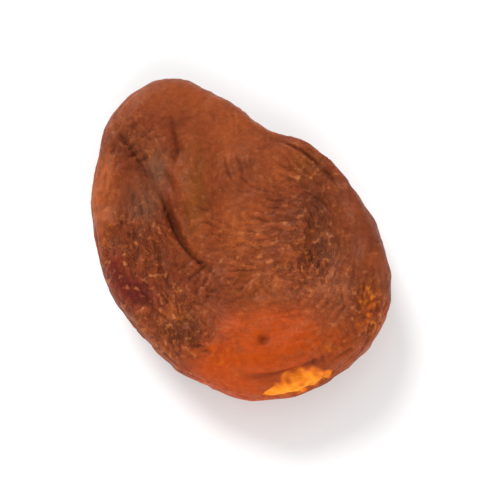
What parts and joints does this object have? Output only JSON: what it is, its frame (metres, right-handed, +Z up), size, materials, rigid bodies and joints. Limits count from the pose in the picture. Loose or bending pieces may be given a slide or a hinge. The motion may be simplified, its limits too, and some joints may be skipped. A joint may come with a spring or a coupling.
{
  "type": "dried apricot",
  "caption": "Whole pitted dried apricot: a thick, dished, wrinkled disc with a rolled rim, lying on its back on a small flat spot.",
  "frame": {"origin": "on the surface the fruit rests on, under the middle of its box", "axes": "+Z up out of the dished side; +Y along the fruit's length, from the stalk end towards the narrow lobe; +X to the right seen from above"},
  "size_m": [0.037, 0.0426, 0.0105],
  "materials": {
    "apricot_skin": "dark reddish-brown dried fruit skin, satin, finely wrinkled, orange at the stalk end"
  },
  "bodies": {
    "root": {"apricot": "apricot_skin"}
  },
  "joints": []
}
